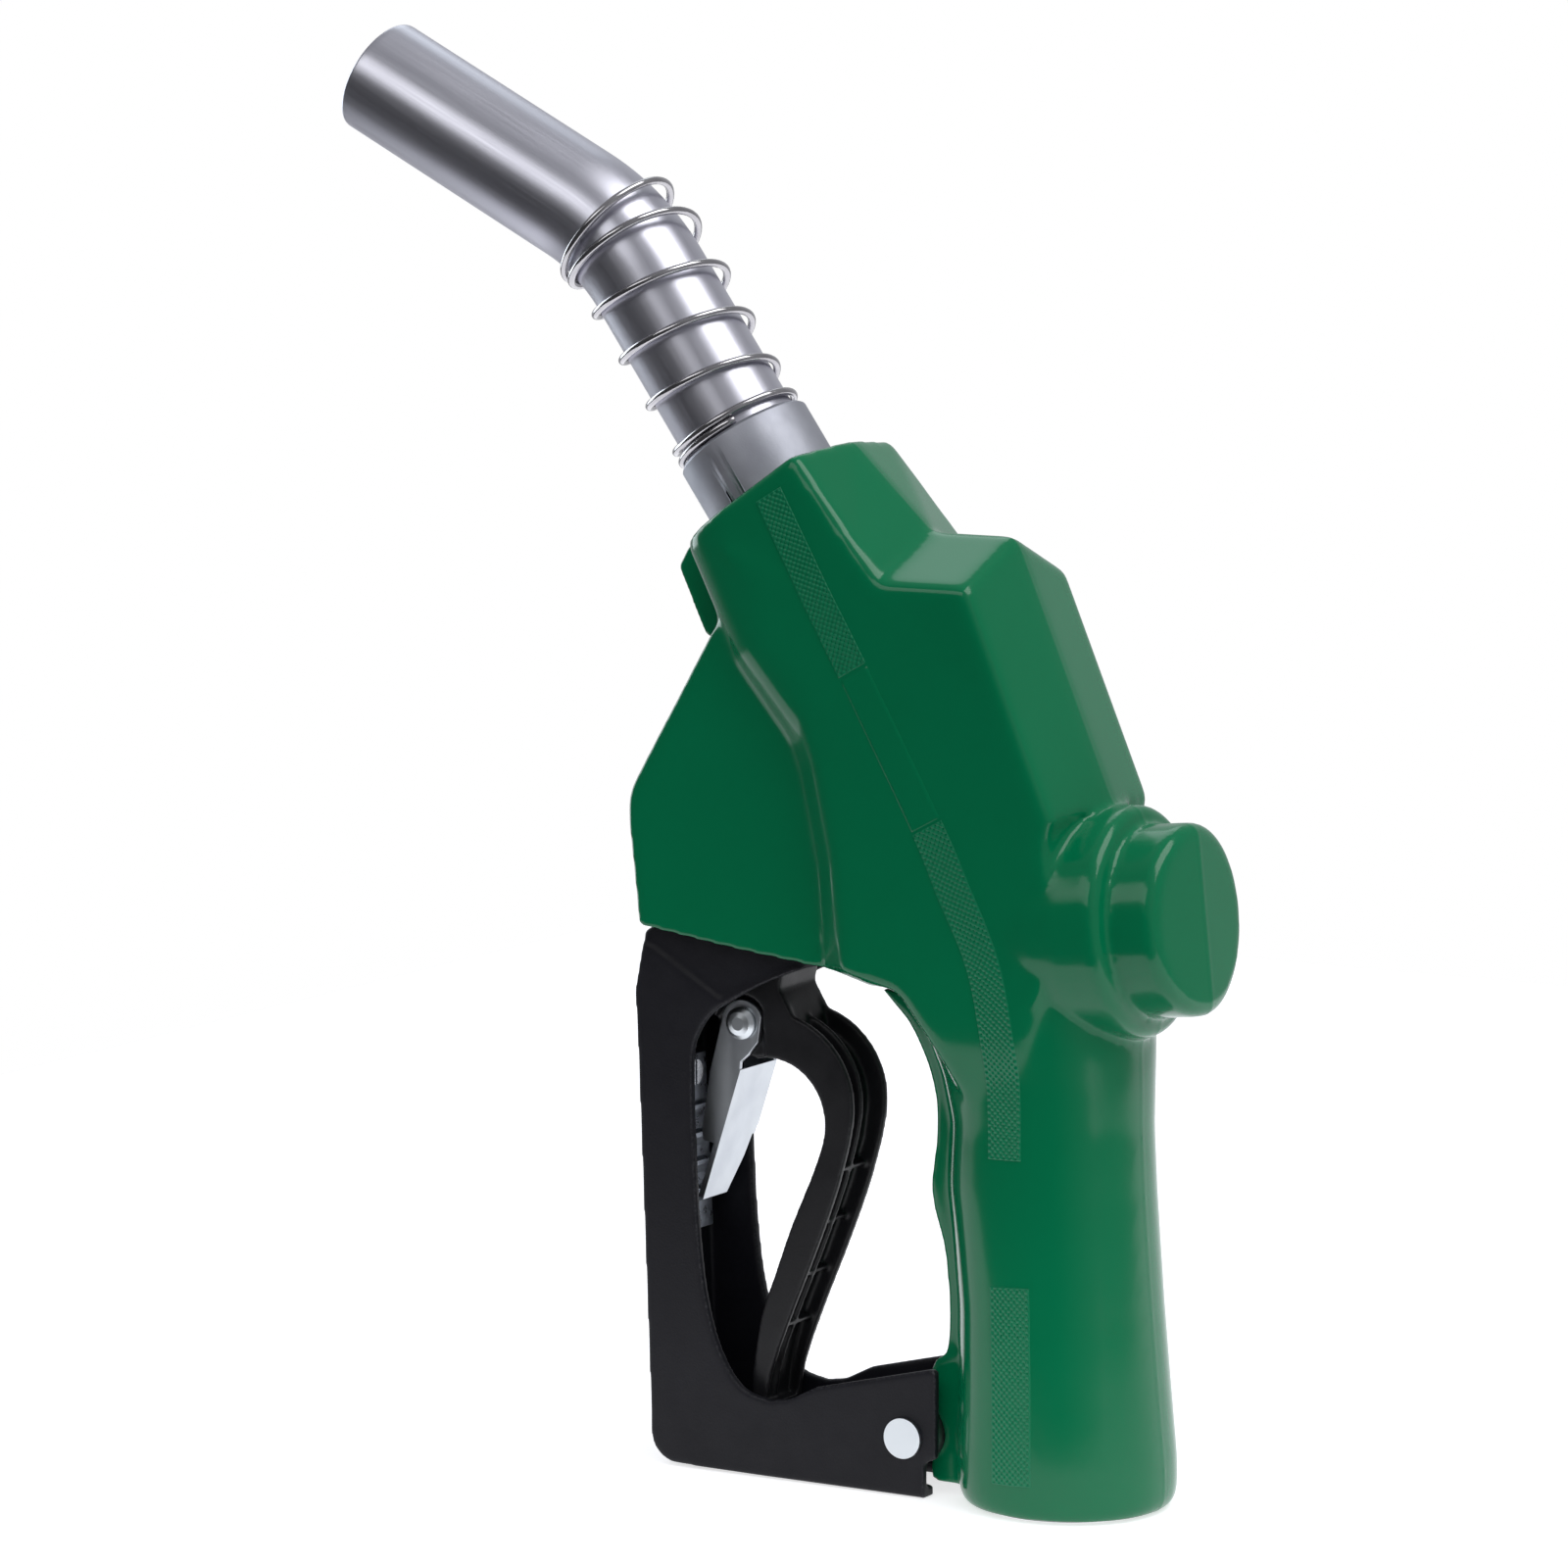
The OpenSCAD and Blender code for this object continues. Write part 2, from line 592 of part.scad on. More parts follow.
rack_tooth = 7.2;
module hold_open_rack() color("slategray") difference() {
    union() {
        slab([[-113.5, 103.6], [-110.6, 103.6], [-108.4, 58.6], [-111.9, 58.6]], 8.6);
        for (i = [0:3]) translate([0.33 * i, 0, -rack_tooth * i])
            slab([[-110.9, 92], [-108.6, 90.8], [-108.8, 89.6], [-110.5, 85.4]], 8.6);
    }
    translate([-113, 0, 99.5]) rotate([0, 90, 0]) cylinder(r = 1.6, h = 12, center = true);
}

module rack_screw() color("gainsboro") translate([-110.7, 0, 99.5]) rotate([0, 90, 0]) {
    difference() {
        rod(3.3, 0.6, 2.4);
        translate([-4, -0.45, 1.6]) cube([8, 0.9, 2]);
    }
    rod(1.5, -5.6, 0.6);
}

// ---------------------------------------------------------------- lever and hold-open latch

lever_outline = concat(
    arc(-103, 162, 7, 200, 20, 14),
    [[-93.5, 156], [-83, 145], [-77.89, 140], [-76.91, 132], [-78.4, 124.5]],
    arc(-80, 95.5, 23, 76, -8, 16),
    smooth([[-58.2, 87], [-61.4, 75.5], [-66.4, 62], [-71.8, 49], [-76.2, 38.5], [-80.8, 26],
        [-82.8, 15]], 2),
    arc(-84.6, 13.6, 1.8, 0, -180, 6),
    smooth([[-86.2, 26], [-83.8, 40], [-79.6, 51.5], [-74.8, 64.5], [-69, 77.5], [-66, 85.5]], 2),
    arc(-81, 91, 15.8, -10, 92, 12),
    [[-86, 106]],
    arc(-89.3, 115.2, 8, -110, -180, 5),
    [[-99, 124], [-104, 138], [-109, 152]]
);
// The open channel down the lever's back
lever_channel = concat(
    [[-76.4, 121], [-74, 114]],
    arc(-80, 95.5, 17.8, 72, -8, 12),
    smooth([[-63.4, 86], [-67, 74.5], [-72, 61], [-77, 48], [-81, 38], [-84, 27], [-85.2, 17]], 2),
    [[-70, 17], [-50, 60], [-45, 110], [-60, 128]]
);

// A thin wall across the channel, at right angles to the leg
module lever_rib(x, z, lean) translate([x, 0, z]) rotate([0, lean, 0])
    translate([-0.9, 0, 0]) cube([4.8, lever_w - 3, 1.3], center = true);

module lever() color("#1c1c20") difference() {
    union() {
        difference() {
            slab(lever_outline, lever_w / 2);
            slab(lever_channel, lever_w / 2 - 2.1);
        }
        // centre ridge and cross ribs inside the channel
        intersection() {
            slab(lever_outline, 0.8);
            translate([-2.2, 0, 0]) slab(lever_outline, 1);
        }
        lever_rib(-64, 79.5, 20);
        lever_rib(-69.5, 65.5, 21);
        lever_rib(-75, 51.5, 22);
        lever_rib(-80, 38, 22);
    }
    translate(fulcrum) cross_rod(3 + running, 40);
    // slot for the plunger's tongue
    slab(concat(arc(-103, 162, 9.2, -96, -175, 8), [[-115, 175], [-88, 178], [-88, 158],
        [-94, 152.5]]), 3.9);
    // seat for the latch's eyes, with its torsion spring between them
    for (side = [-1, 1]) translate([0, side * (lever_w / 2), 0])
        slab(concat(arc(-89.3, 115.2, 7.2, 35, 145, 8), [[-99.5, 112], [-99.5, 100], [-84, 100],
            [-82.6, 108]]), 1.8);
    slab(concat(arc(-89.3, 115.2, 5.6, 60, 240, 10), [[-94, 102], [-84, 102], [-84, 112]]), 5.8);
    translate(latch_at) cross_rod(2 + running, 40);
    // lightening hollow above the pad
    slab([[-97.5, 148], [-92, 136], [-86, 136], [-88, 146]], 6.6);
}

module fulcrum_pin() color("silver") translate(fulcrum) cross_rod(3, lever_w - 0.4);

module latch_rivet() color("#c8ced6") translate(latch_at) {
    cross_rod(2, 2 * latch_half + 0.6);
    for (side = [-1, 1]) translate([0, side * (latch_half + 0.25), 0]) {
        rotate([side * -90, 0, 0]) rotate_extrude() polygon([
            [0, 0], [4.1, 0], [4.1, 0.7], [3, 1.5], [1.7, 1.9], [0, 1.9]
        ]);
    }
}

module latch_spring() color("lightgray") translate(latch_at) rotate([90, 0, 0])
    coil(3.4, 0.55, -4.6, 4.6, 7.2, 14, 6, 1);

latch_flange = concat(
    arc(-89.3, 115.2, 6, 20, 178, 12),
    [[-97.2, 108], [-98.8, 102], [-100, 94], [-101.2, 86.5], [-100.8, 84.2], [-96.4, 83.2], [-90, 102.6]],
    [[-89.8, 105], [-87.2, 107.4], [-84.6, 110.6]]
);
module hold_open_latch() color("#b8bec8") difference() {
    union() {
        for (side = [-1, 1]) translate([0, side * (latch_half - latch_sheet / 2), 0])
            slab(latch_flange, latch_sheet / 2);
        // web between the flanges, running down to the nose
        intersection() {
            slab([[-91.3, 102.7], [-89.7, 103.1], [-100.8, 68.6], [-102.4, 69.2]], latch_half);
            rotate([0, 90, 0]) translate([0, 0, -110]) linear_extrude(30) polygon([
                [-104, -latch_half], [-104, latch_half], [-86, latch_half], [-84.6, 7.6],
                [-78, 6.4], [-67, 2], [-67, -latch_half]
            ]);
        }
    }
    translate(latch_at) cross_rod(2 + running, 60);
}

// ---------------------------------------------------------------- trip plunger and diaphragm

module trip_plunger() color("gainsboro") difference() {
    union() {
        on_trip() rod(trip_r, 10.5, 76);
        on_trip() rod(7.2, 74.2, 76);
        // tongue that carries the fulcrum pin
        intersection() {
            on_trip() translate([-5, -3.5, -5]) cube([10, 7, 17]);
            union() {
                translate(fulcrum) cross_rod(5, 8);
                on_trip() rod(6, 0, 14);
            }
        }
    }
    // bore for the trip pin, and the pockets for its balls
    on_trip() rod(2.2, 40, 77);
    on_trip() for (a = [0:120:240]) rotate(a) translate([0, 0, 52]) rotate([0, 90, 0])
        cylinder(r = 1.25, h = 8);
    translate(fulcrum) cross_rod(3, 20);
}

module plunger_spring() color("lightgray") on_trip() coil(6.2, 0.5, 62.2, 74, 5, 14, 6);

module trip_balls() color("silver") on_trip() for (a = [0:120:240]) rotate(a)
    translate([3.6, 0, 52]) sphere(r = 1.15, $fn = 24);

module trip_pin() color("silver") on_trip() {
    rod(2.15, 42, 56);
    rod(1.6, 56, 86.6);
}

module diaphragm_plate() color("silver") on_trip() rod(11, 86.6, 88);

module diaphragm() color("#2a2a2a") on_trip() difference() {
    union() {
        rod(22.9, bowl_rim, bowl_rim + 1);
        rotate_extrude() polygon([
            [0, 88], [12.4, 88], [15.5, 86.4], [17.8, 87.4], [18.6, 92], [18.6, 93], [16.8, 93],
                [16.4, 88.4],
            [15.4, 87.6], [12.8, 89], [0, 89]
        ]);
    }
    for (a = [45:90:315]) rotate(a) translate([20.8, 0, bowl_rim - 1]) cylinder(r = 1.7, h = 3);
    rod(15, bowl_rim - 1, bowl_rim + 2);
}

module diaphragm_spring() color("lightgray") on_trip() coil(6, 0.5, 89.1, 98.5, 5, 14, 6);

module diaphragm_cap() color("darkgray") on_trip() difference() {
    union() {
        rod(22.9, bowl_rim + 1, bowl_rim + 4);
        rod(18.4, bowl_rim + 4, bowl_rim + 9);
    }
    rod(16, bowl_rim, bowl_rim + 6.6);
    for (a = [45:90:315]) rotate(a) translate([20.8, 0, bowl_rim]) cylinder(r = 1.7, h = 6);
    for (a = [45:90:315]) rotate(a) translate([20.8, 0, bowl_rim + 4]) cylinder(r = 3.3, h = 6);
}

module diaphragm_screws() color("silver") on_trip() for (a = [45:90:315]) rotate(a)
    translate([20.8, 0, bowl_rim + 4]) {
        rod(1.45, -10.6, 0);
        difference() {
            rod(2.4, 0, 1.8);
            translate([-3.5, -0.4, 1.1]) cube([7, 0.8, 2]);
        }
    }

// ---------------------------------------------------------------- main valve

module main_stem() color("silver") on_valve() {
    rod(stem_r, lever_pad_z + stem_gap + 2, seat_z + 1);
    translate([0, 0, lever_pad_z + stem_gap]) rotate_extrude() polygon([
        [0, 0], [1.6, 0.15], [3, 0.8], [stem_r, 2], [0, 2]
    ]);
    rod(2.5, seat_z + 1, seat_z + 12);
}

module main_poppet() color("gainsboro") on_valve() difference() {
    rod(15.5, seat_z + 2.4, seat_z + 6);
    rod(2.55, seat_z, seat_z + 8);
    translate([0, 0, seat_z + 4.6]) rotate_extrude() translate([9.2, 0]) square([3.6, 2]);
}

module poppet_seal() color("black") on_valve() difference() {
    rod(14.6, seat_z + 0.1, seat_z + 2.4);
    rod(stem_r + 0.1, seat_z, seat_z + 3);
}

module poppet_nut() color("silver") on_valve() difference() {
    rod(4.6, seat_z + 6, seat_z + 9.4);
    rod(2.52, seat_z + 5, seat_z + 10);
}

module main_spring() color("lightgray") on_valve() coil(11, 1, seat_z + 4.7, 16.6, 6, 18, 6);

module packing_nut() color("goldenrod") on_valve() difference() {
    union() {
        translate([0, 0, -49.5]) cylinder(r = 6.6, h = 5, $fn = 6);
        rod(5.9, -44.6, -43.4);
    }
    rod(stem_r + running, -55, -42);
}

module stem_packing() color("#303030") on_valve() difference() {
    rod(5.9, -43.3, -40.6);
    rod(stem_r + 0.03, -47, -40);
}

module poppet_cap() color("darkgray") on_valve() difference() {
    union() {
        rod(20.9, 3, chamber_end + 1);
        rod(25.4, chamber_end + 0.1, 17.6);
        rod(17, 17.6, 32.8);
    }
    rod(16.6, 2, 16.8);
    rod(9, 16, 26);
    translate([0, 0, 5.4]) rotate_extrude() translate([20.05, 0]) circle(r = 1);
}

module cap_o_ring() color("black") on_valve() translate([0, 0, 5.4])
    rotate_extrude() translate([20.05, 0]) circle(r = 0.9);

// ---------------------------------------------------------------- build

body_casting();
scuff_cover();
spout_tube();
spout_collar();
collar_o_ring();
spout_screw();
anchor_spring();
vent_tube();
check_poppet();
check_seal();
check_spring();
check_cage();
hand_guard();
guard_pivot_pin();
guard_screws();
hold_open_rack();
rack_screw();
lever();
latch_rivet();
latch_spring();
hold_open_latch();
trip_plunger();
fulcrum_pin();
plunger_spring();
trip_pin();
trip_balls();
diaphragm();
diaphragm_plate();
diaphragm_spring();
diaphragm_cap();
diaphragm_screws();
main_stem();
main_poppet();
poppet_seal();
poppet_nut();
main_spring();
packing_nut();
stem_packing();
poppet_cap();
cap_o_ring();
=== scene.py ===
# %% [markdown]
# # A fuel nozzle
# We dress a finished engineering model of a fuel nozzle in its looks. The engineering model fixes every
# size and every joint. Blender adds what the eye reads: rounded edges, grain, sheen and light. Lengths are
# in metres, so a length in millimetres is written as a number times MM.

# %% Load the fixed frame
import json
import math
import bpy
import numpy as np
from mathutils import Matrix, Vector
from mathutils.bvhtree import BVHTree


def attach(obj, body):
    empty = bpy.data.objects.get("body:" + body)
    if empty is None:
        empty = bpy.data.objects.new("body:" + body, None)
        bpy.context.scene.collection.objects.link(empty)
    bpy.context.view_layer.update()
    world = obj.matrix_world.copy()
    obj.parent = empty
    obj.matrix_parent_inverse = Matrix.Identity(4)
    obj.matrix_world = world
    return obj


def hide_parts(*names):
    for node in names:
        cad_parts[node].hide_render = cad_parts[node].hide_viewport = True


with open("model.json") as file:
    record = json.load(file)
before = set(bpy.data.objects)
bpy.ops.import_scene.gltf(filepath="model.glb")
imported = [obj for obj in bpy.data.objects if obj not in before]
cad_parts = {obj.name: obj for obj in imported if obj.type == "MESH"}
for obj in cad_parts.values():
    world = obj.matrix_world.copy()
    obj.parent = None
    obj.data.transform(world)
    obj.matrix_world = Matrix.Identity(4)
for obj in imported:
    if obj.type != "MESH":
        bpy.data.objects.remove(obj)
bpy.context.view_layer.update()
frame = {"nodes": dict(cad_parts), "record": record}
MM = 0.001

# %% [markdown]
# ## Camera
# A nozzle is tall and thin. A short lens close by would make its upright lines lean, so we use a long lens
# from far away. The camera comes first, so that each piece can be judged as it is made. The Standard view
# transform keeps the white surround white, where a filmic one would turn it grey.

# %% Camera
scene = bpy.context.scene
scene.view_settings.view_transform = "Standard"
camera_place = Vector((0.81786, -1.54046, 0.41374))
looking_along = Vector((-0.5001, 0.8558, -0.1323))
lens_mm, film_mm = 163.6, 36
nearest_seen = 0.05
camera_data = bpy.data.cameras.new("camera")
camera_data.lens = lens_mm
camera_data.sensor_width = film_mm
camera_data.clip_start = nearest_seen
camera = bpy.data.objects.new("camera", camera_data)
camera.location = camera_place
camera.rotation_euler = looking_along.to_track_quat("-Z", "Y").to_euler()
scene.collection.objects.link(camera)
scene.camera = camera
print("camera at", tuple(round(v, 3) for v in camera_place), "with a lens of", lens_mm, "mm")

# %% [markdown]
# ## Finishes
# No real surface has one flat colour or one even polish. Painted image textures could show that, but they
# need a map for every piece. We build each finish from noise instead, which needs no map. A slow noise
# shifts the colour a little, a second one makes some places duller than others, and a fine one lifts the
# grain. Plastic, cast metal and drawn tube then differ only in their numbers.

# %% Noise at a number of cycles per metre
def add_noise(tree, where, scale, detail=3.0, roughness=0.5):
    noise = tree.nodes.new("ShaderNodeTexNoise")
    noise.inputs["Scale"].default_value = scale
    noise.inputs["Detail"].default_value = detail
    noise.inputs["Roughness"].default_value = roughness
    tree.links.new(where, noise.inputs["Vector"])
    return noise.outputs["Fac"]


print("noise has most of its values between 0.3 and 0.7, so it is spread before use")


# %% Spread a value over a new range
def spread(tree, value, low, high, from_low=0.3, from_high=0.7):
    ramp = tree.nodes.new("ShaderNodeMapRange")
    ramp.inputs["From Min"].default_value = from_low
    ramp.inputs["From Max"].default_value = from_high
    ramp.inputs["To Min"].default_value = low
    ramp.inputs["To Max"].default_value = high
    tree.links.new(value, ramp.inputs["Value"])
    return ramp.outputs["Result"]


print("helper ready:", spread.__name__)


# %% Mix two colours, each a tuple or the colour from another node
def mix_colours(tree, amount, first, second):
    mix = tree.nodes.new("ShaderNodeMix")
    mix.data_type = "RGBA"
    tree.links.new(amount, mix.inputs["Factor"])
    for socket, colour in (("A", first), ("B", second)):
        slot = [s for s in mix.inputs if s.name == socket and s.type == "RGBA"][0]
        if isinstance(colour, tuple):
            slot.default_value = (*colour, 1)
        else:
            tree.links.new(colour, slot)
    return [s for s in mix.outputs if s.type == "RGBA"][0]


print("helper ready:", mix_colours.__name__)

# %% [markdown]
# Edges of the black nylon are painted lighter, as a painted highlight where the grained bevels catch the
# light.
# Pointiness tells how sharply a surface bends outwards at each point. We multiply it by a patchy noise, so
# the painted highlight is broken into patches.

# %% Painted highlight on edges
edge_starts, edge_full = 0.52, 0.6
patch_starts, patch_full = 0.4, 0.7


def paint_edge_highlight(tree, place, paint, painted_highlight, highlight_patch_scale):
    sharp = tree.nodes.new("ShaderNodeNewGeometry").outputs["Pointiness"]
    patchy = add_noise(tree, place, highlight_patch_scale, 3)
    lit_edge = tree.nodes.new("ShaderNodeMath")
    lit_edge.operation = "MULTIPLY"
    tree.links.new(spread(tree, sharp, 0, 1, edge_starts, edge_full), lit_edge.inputs[0])
    tree.links.new(spread(tree, patchy, 0, 1, patch_starts, patch_full), lit_edge.inputs[1])
    # the outward edges get the lighter painted-highlight colour
    return mix_colours(tree, lit_edge.outputs[0], paint, painted_highlight)


print("edges show wear from a pointiness of", edge_starts, "to", edge_full)

# %% [markdown]
# A bump node tilts the light on a surface without moving it. It is right for grain, scratches and slow
# waves, which are too small to see from the side. We chain one bump node after another to add them up.

# %% Grain, scratches and waves
def lift_bumps(tree, layers):
    """Each layer is cycles per metre, height in millimetres, and the place it is looked up at."""
    height = None
    for scale, lift, where in layers:
        if scale and lift:
            bump = tree.nodes.new("ShaderNodeBump")
            bump.inputs["Distance"].default_value = lift * MM
            tree.links.new(add_noise(tree, where, scale, 2), bump.inputs["Height"])
            if height:
                tree.links.new(height, bump.inputs["Normal"])
            height = bump.outputs["Normal"]
    return height


print("helper ready:", lift_bumps.__name__)

# %% One recipe for a finish
dull_finer = 3


def finish(name, colour, shade, dull, metal=0.0, mottle=60, grain=900, grain_height=0.02, painted_highlight=None,
           highlight_patch_scale=400, stretch=None, scratch=0, scratch_height=0.0, wave=0.0, specular=0.5,
           use_uv=False):
    """Colour varies to shade, and dull is the range of roughness. Mottle, grain and scratch are cycles
    per metre. Heights are in millimetres."""
    material = bpy.data.materials.new(name)
    material.use_nodes = True
    tree = material.node_tree
    shader = tree.nodes["Principled BSDF"]
    place = tree.nodes.new("ShaderNodeTexCoord").outputs["UV" if use_uv else "Object"]
    paint = mix_colours(tree, spread(tree, add_noise(tree, place, mottle), 0, 1), colour, shade)
    # painted highlight: outward edges are painted a lighter colour than the plastic
    if painted_highlight:
        paint = paint_edge_highlight(tree, place, paint, painted_highlight, highlight_patch_scale)
    tree.links.new(paint, shader.inputs["Base Color"])
    smear = place
    if stretch:
        squeeze = tree.nodes.new("ShaderNodeMapping")
        squeeze.inputs["Scale"].default_value = stretch
        tree.links.new(place, squeeze.inputs["Vector"])
        smear = squeeze.outputs["Vector"]
    tree.links.new(spread(tree, add_noise(tree, smear, mottle * dull_finer, 4), *dull),
                    shader.inputs["Roughness"])
    height = lift_bumps(tree, ((grain, grain_height, place), (scratch, scratch_height, smear),
                               (mottle, wave, place)))
    if height:
        tree.links.new(height, shader.inputs["Normal"])
    shader.inputs["Metallic"].default_value = metal
    shader.inputs["Specular IOR Level"].default_value = specular
    print("finish:", name)
    return material


# %% [markdown]
# ### Green vinyl
# The cover is a thick skin of glossy vinyl. Its green is deep and has almost no red in it. A slow wave of a
# few hundredths of a millimetre bends the reflections, as the shrinkage of a moulding does. The hatched
# bands get a finish of their own, a little lighter and duller, because handling scuffs the points of the
# hatching.

# %% Green vinyl
finishes = {
    "cover_green": finish("green_vinyl", (0.0, 0.138, 0.055), (0.0, 0.130, 0.051), (0.13, 0.17), mottle=22,
                          grain=1100, grain_height=0.002, wave=0.04, specular=0.32),
    "hatched_green": finish("hatched_vinyl", (0.002, 0.165, 0.072), (0.001, 0.15, 0.064), (0.22, 0.3),
                            mottle=30, grain=1500, grain_height=0.004, specular=0.35),
}

# %% [markdown]
# ### Aluminium
# The spout is drawn, so its brushing runs along the tube. Its noise is stretched along the map that the
# spout carries, which bends with it. The collar and the casting are blasted, which leaves an even, dull
# grain with no direction.

# %% Aluminium
finishes |= {
    "spout_alloy": finish("drawn_alloy", (0.64, 0.64, 0.71), (0.56, 0.56, 0.635), (0.3, 0.38), 1.0, mottle=9,
                          grain=2600, grain_height=0.002, stretch=(60, 1, 1), scratch=60,
                          scratch_height=0.003, use_uv=True),
    "collar_cast": finish("cast_alloy", (0.44, 0.45, 0.50), (0.36, 0.37, 0.42), (0.5, 0.6), 1.0, mottle=70,
                          grain=2200, grain_height=0.03),
    "cast_body": finish("blasted_casting", (0.55, 0.56, 0.57), (0.46, 0.47, 0.48), (0.4, 0.55), 1.0,
                        grain=1800, grain_height=0.05),
    "cap_alloy": finish("turned_alloy", (0.66, 0.67, 0.68), (0.56, 0.57, 0.58), (0.28, 0.4), 1.0, mottle=70,
                        grain=2200, grain_height=0.01),
}

# %% [markdown]
# ### Black nylon and rubber
# The guard and the lever are moulded in black nylon with a fine grain. Black plastic still reflects light,
# so its colour is near zero and its roughness makes it look grey where a lamp stands. Only these two get a
# painted highlight: their outward edges are painted lighter.

# %% Black nylon and rubber
finishes |= {
    "guard_black": finish("black_guard", (0.0065, 0.0065, 0.0095), (0.005, 0.005, 0.0075), (0.42, 0.54),
                          mottle=45, grain=2100, grain_height=0.05, painted_highlight=(0.11, 0.11, 0.12), specular=0.24,
                          highlight_patch_scale=1500),
    "lever_black": finish("black_lever", (0.0065, 0.0065, 0.008), (0.005, 0.005, 0.006), (0.34, 0.46),
                          mottle=45, grain=1700, grain_height=0.03, painted_highlight=(0.05, 0.05, 0.055), specular=0.3,
                          highlight_patch_scale=1500),
    "seal_rubber": finish("seal_rubber", (0.018, 0.018, 0.018), (0.012, 0.012, 0.012), (0.5, 0.65),
                          mottle=80, grain=1800, grain_height=0.02),
    "vent_nylon": finish("vent_nylon", (0.62, 0.60, 0.54), (0.55, 0.53, 0.47), (0.4, 0.5), grain=1500,
                         grain_height=0.01),
}

# %% [markdown]
# ### Steel and brass
# The latch, the pins and the rack are steel under thin zinc, which gives a cool, slightly blue metal. The
# spring wire is drawn stainless steel and the smoothest metal here. The valve parts inside are turned
# stainless steel and brass.

# %% Steel and brass
finishes |= {
    "spring_steel": finish("spring_wire", (0.52, 0.51, 0.53), (0.42, 0.41, 0.43), (0.12, 0.2), 1.0,
                           mottle=120, grain=3000, grain_height=0.004),
    "latch_zinc": finish("blue_zinc", (0.60, 0.63, 0.66), (0.52, 0.55, 0.59), (0.28, 0.4), 1.0, mottle=90,
                         grain=2600, grain_height=0.003, stretch=(1, 1, 0.12), scratch=700,
                         scratch_height=0.003),
    "pin_steel": finish("bright_zinc", (0.70, 0.74, 0.77), (0.68, 0.72, 0.75), (0.3, 0.34), 1.0, grain=2600,
                        grain_height=0.003),
    "rack_steel": finish("dull_zinc", (0.62, 0.67, 0.75), (0.45, 0.49, 0.56), (0.24, 0.38), 1.0, mottle=120,
                         grain=2000, grain_height=0.006),
    "screw_steel": finish("screw_zinc", (0.62, 0.64, 0.67), (0.5, 0.52, 0.55), (0.24, 0.34), 1.0, mottle=160,
                          grain=2600, grain_height=0.01),
    "stainless": finish("ground_stainless", (0.70, 0.70, 0.69), (0.60, 0.60, 0.59), (0.2, 0.3), 1.0,
                        mottle=90, grain=2600, grain_height=0.008),
    "brass": finish("turned_brass", (0.72, 0.52, 0.22), (0.62, 0.43, 0.17), (0.2, 0.32), 1.0, mottle=90,
                    grain=2200, grain_height=0.01),
}

# %% [markdown]
# The engineering record names a finish for every part. We hang it on the object, not on the mesh, so that
# the mesh stays exactly as it was made.

# %% Finishes on the engineering parts
slot_of = {part["node"]: part["material_slot"] for part in frame["record"]["subparts"]}
for node, shape in frame["nodes"].items():
    if not shape.material_slots:
        shape.data.materials.append(None)
    for holder in shape.material_slots:
        holder.link = "OBJECT"
        holder.material = finishes[slot_of[node]]
print("engineering parts with a finish:", len(frame["nodes"]))

# %% [markdown]
# ## Tools for making pieces
# Two ways of making a mesh serve the whole nozzle. Turned and drawn parts are swept along a line, ring by
# ring. Moulded parts start from the engineering solid: it is rebuilt from small even squares and then
# relaxed, so that all its edges round off, as they do in a mould.

# %% Put a new piece in the scene
def add_piece(name, points, faces, slot, body, replaced=(), uv=None, look=None):
    mesh = bpy.data.meshes.new(name)
    mesh.from_pydata([tuple(p) for p in points], [], [tuple(int(i) for i in f) for f in faces])
    mesh.polygons.foreach_set("use_smooth", [True] * len(mesh.polygons))
    if uv is not None:
        layer = mesh.uv_layers.new(name="along")
        corners = np.zeros(len(mesh.loops), int)
        mesh.loops.foreach_get("vertex_index", corners)
        layer.data.foreach_set("uv", np.asarray(uv, float)[corners].ravel())
    piece = bpy.data.objects.new(name, mesh)
    scene.collection.objects.link(piece)
    mesh.materials.append(finishes[look or slot])
    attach(piece, body)
    if replaced:
        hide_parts(*replaced)
    print(name, "has", len(mesh.vertices), "points")
    return piece


# %% Join rings of points with faces
def ring_faces(rings, sides, closed=False):
    faces = []
    for i in range(rings if closed else rings - 1):
        here, there = i * sides, (i + 1) % rings * sides
        for k in range(sides):
            right = (k + 1) % sides
            faces.append((here + k, here + right, there + right, there + k))
    return faces


print("two rings of four points need", len(ring_faces(2, 4)), "faces")


# %% Read and write all the points of a mesh at once
def read_points(mesh):
    points = np.empty(len(mesh.vertices) * 3, np.float32)
    mesh.vertices.foreach_get("co", points)
    edges = np.empty(len(mesh.edges) * 2, np.int32)
    mesh.edges.foreach_get("vertices", edges)
    return points.reshape(-1, 3).astype(float), edges.reshape(-1, 2)


def write_points(mesh, points):
    mesh.vertices.foreach_set("co", points.astype(np.float32).ravel())
    mesh.update()


def point_normals(mesh):
    normals = np.empty(len(mesh.vertices) * 3, np.float32)
    mesh.vertices.foreach_get("normal", normals)
    return normals.reshape(-1, 3).astype(float)


print("helpers ready:", read_points.__name__, write_points.__name__, point_normals.__name__)


# %% Relax a mesh
def relax(points, edges, rounds, strength):
    """Moves each point towards the middle of its neighbours. Edges round off and flats stay flat."""
    count = np.bincount(edges.ravel(), minlength=len(points)).astype(float)
    strength = np.broadcast_to(strength, len(points))[:, None]
    for _ in range(rounds):
        middle = np.empty_like(points)
        for axis in range(3):
            one = np.bincount(edges[:, 0], points[edges[:, 1], axis], len(points))
            two = np.bincount(edges[:, 1], points[edges[:, 0], axis], len(points))
            middle[:, axis] = (one + two) / count
        points = points + strength * (middle - points)
    return points


print("helper ready:", relax.__name__)


